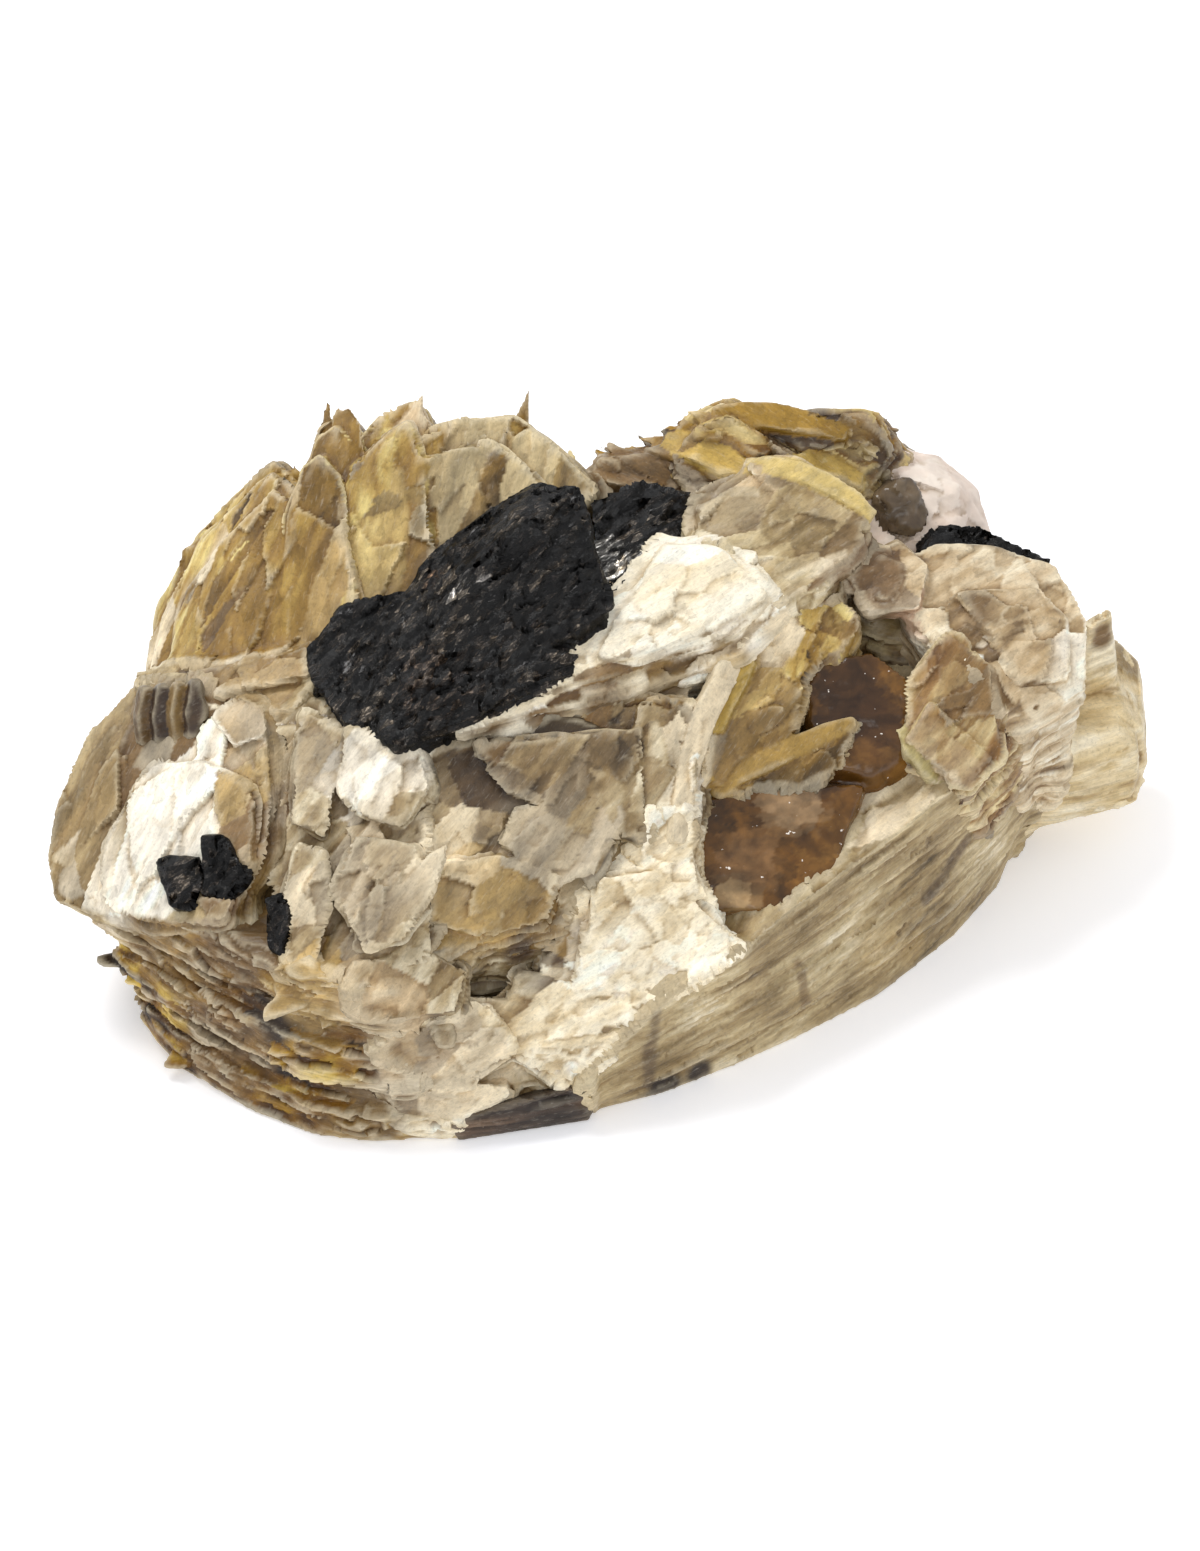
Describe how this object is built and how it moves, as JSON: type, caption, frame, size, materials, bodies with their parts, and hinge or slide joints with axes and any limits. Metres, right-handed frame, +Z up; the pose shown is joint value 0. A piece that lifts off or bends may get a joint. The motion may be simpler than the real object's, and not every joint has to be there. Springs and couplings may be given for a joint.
{
  "type": "mica crystal",
  "caption": "Hand specimen of grown-together mica books with black tourmaline, smoky quartz and pink feldspar, resting on a flat-broken underside.",
  "frame": {"origin": "on the resting plane, under the middle of the specimen's box", "axes": "+Z up from the broken underside, +X along the specimen's length toward the end with the small cream block, +Y toward the tall golden books at the back"},
  "size_m": [0.111, 0.0708, 0.0477],
  "materials": {
    "gold_mica": "pearly golden cleavage leaves",
    "grey_mica": "satin grey-beige cleavage leaves",
    "cream_mica": "bright silvery cream cleavage leaves",
    "schorl": "glossy black, finely striated and broken",
    "smoky_quartz": "glassy resin brown",
    "grey_quartz": "greasy grey",
    "feldspar": "matt pinkish white",
    "biotite": "dark brown leaves"
  },
  "bodies": {
    "root": {"crest_book": "gold_mica", "crown_book": "gold_mica", "ledge_book": "gold_mica", "hollow_left_book": "gold_mica", "hollow_right_book": "gold_mica", "fan_book": "gold_mica", "top_plate_book": "grey_mica", "dome_book": "grey_mica", "side_slab_book": "grey_mica", "mid_left_book": "grey_mica", "centre_book": "grey_mica", "rear_left_book": "grey_mica", "rear_right_book": "grey_mica", "shield_book": "cream_mica", "terrace_book": "cream_mica", "right_block_book": "cream_mica", "cream_book": "cream_mica", "schorl_prism": "schorl", "schorl_splinter": "schorl", "schorl_chip_left": "schorl", "schorl_chip_middle": "schorl", "schorl_chip_right": "schorl", "schorl_ridge": "schorl", "smoky_quartz": "smoky_quartz", "quartz_knob": "grey_quartz", "feldspar_lump": "feldspar", "biotite_foot": "biotite"}
  },
  "joints": []
}
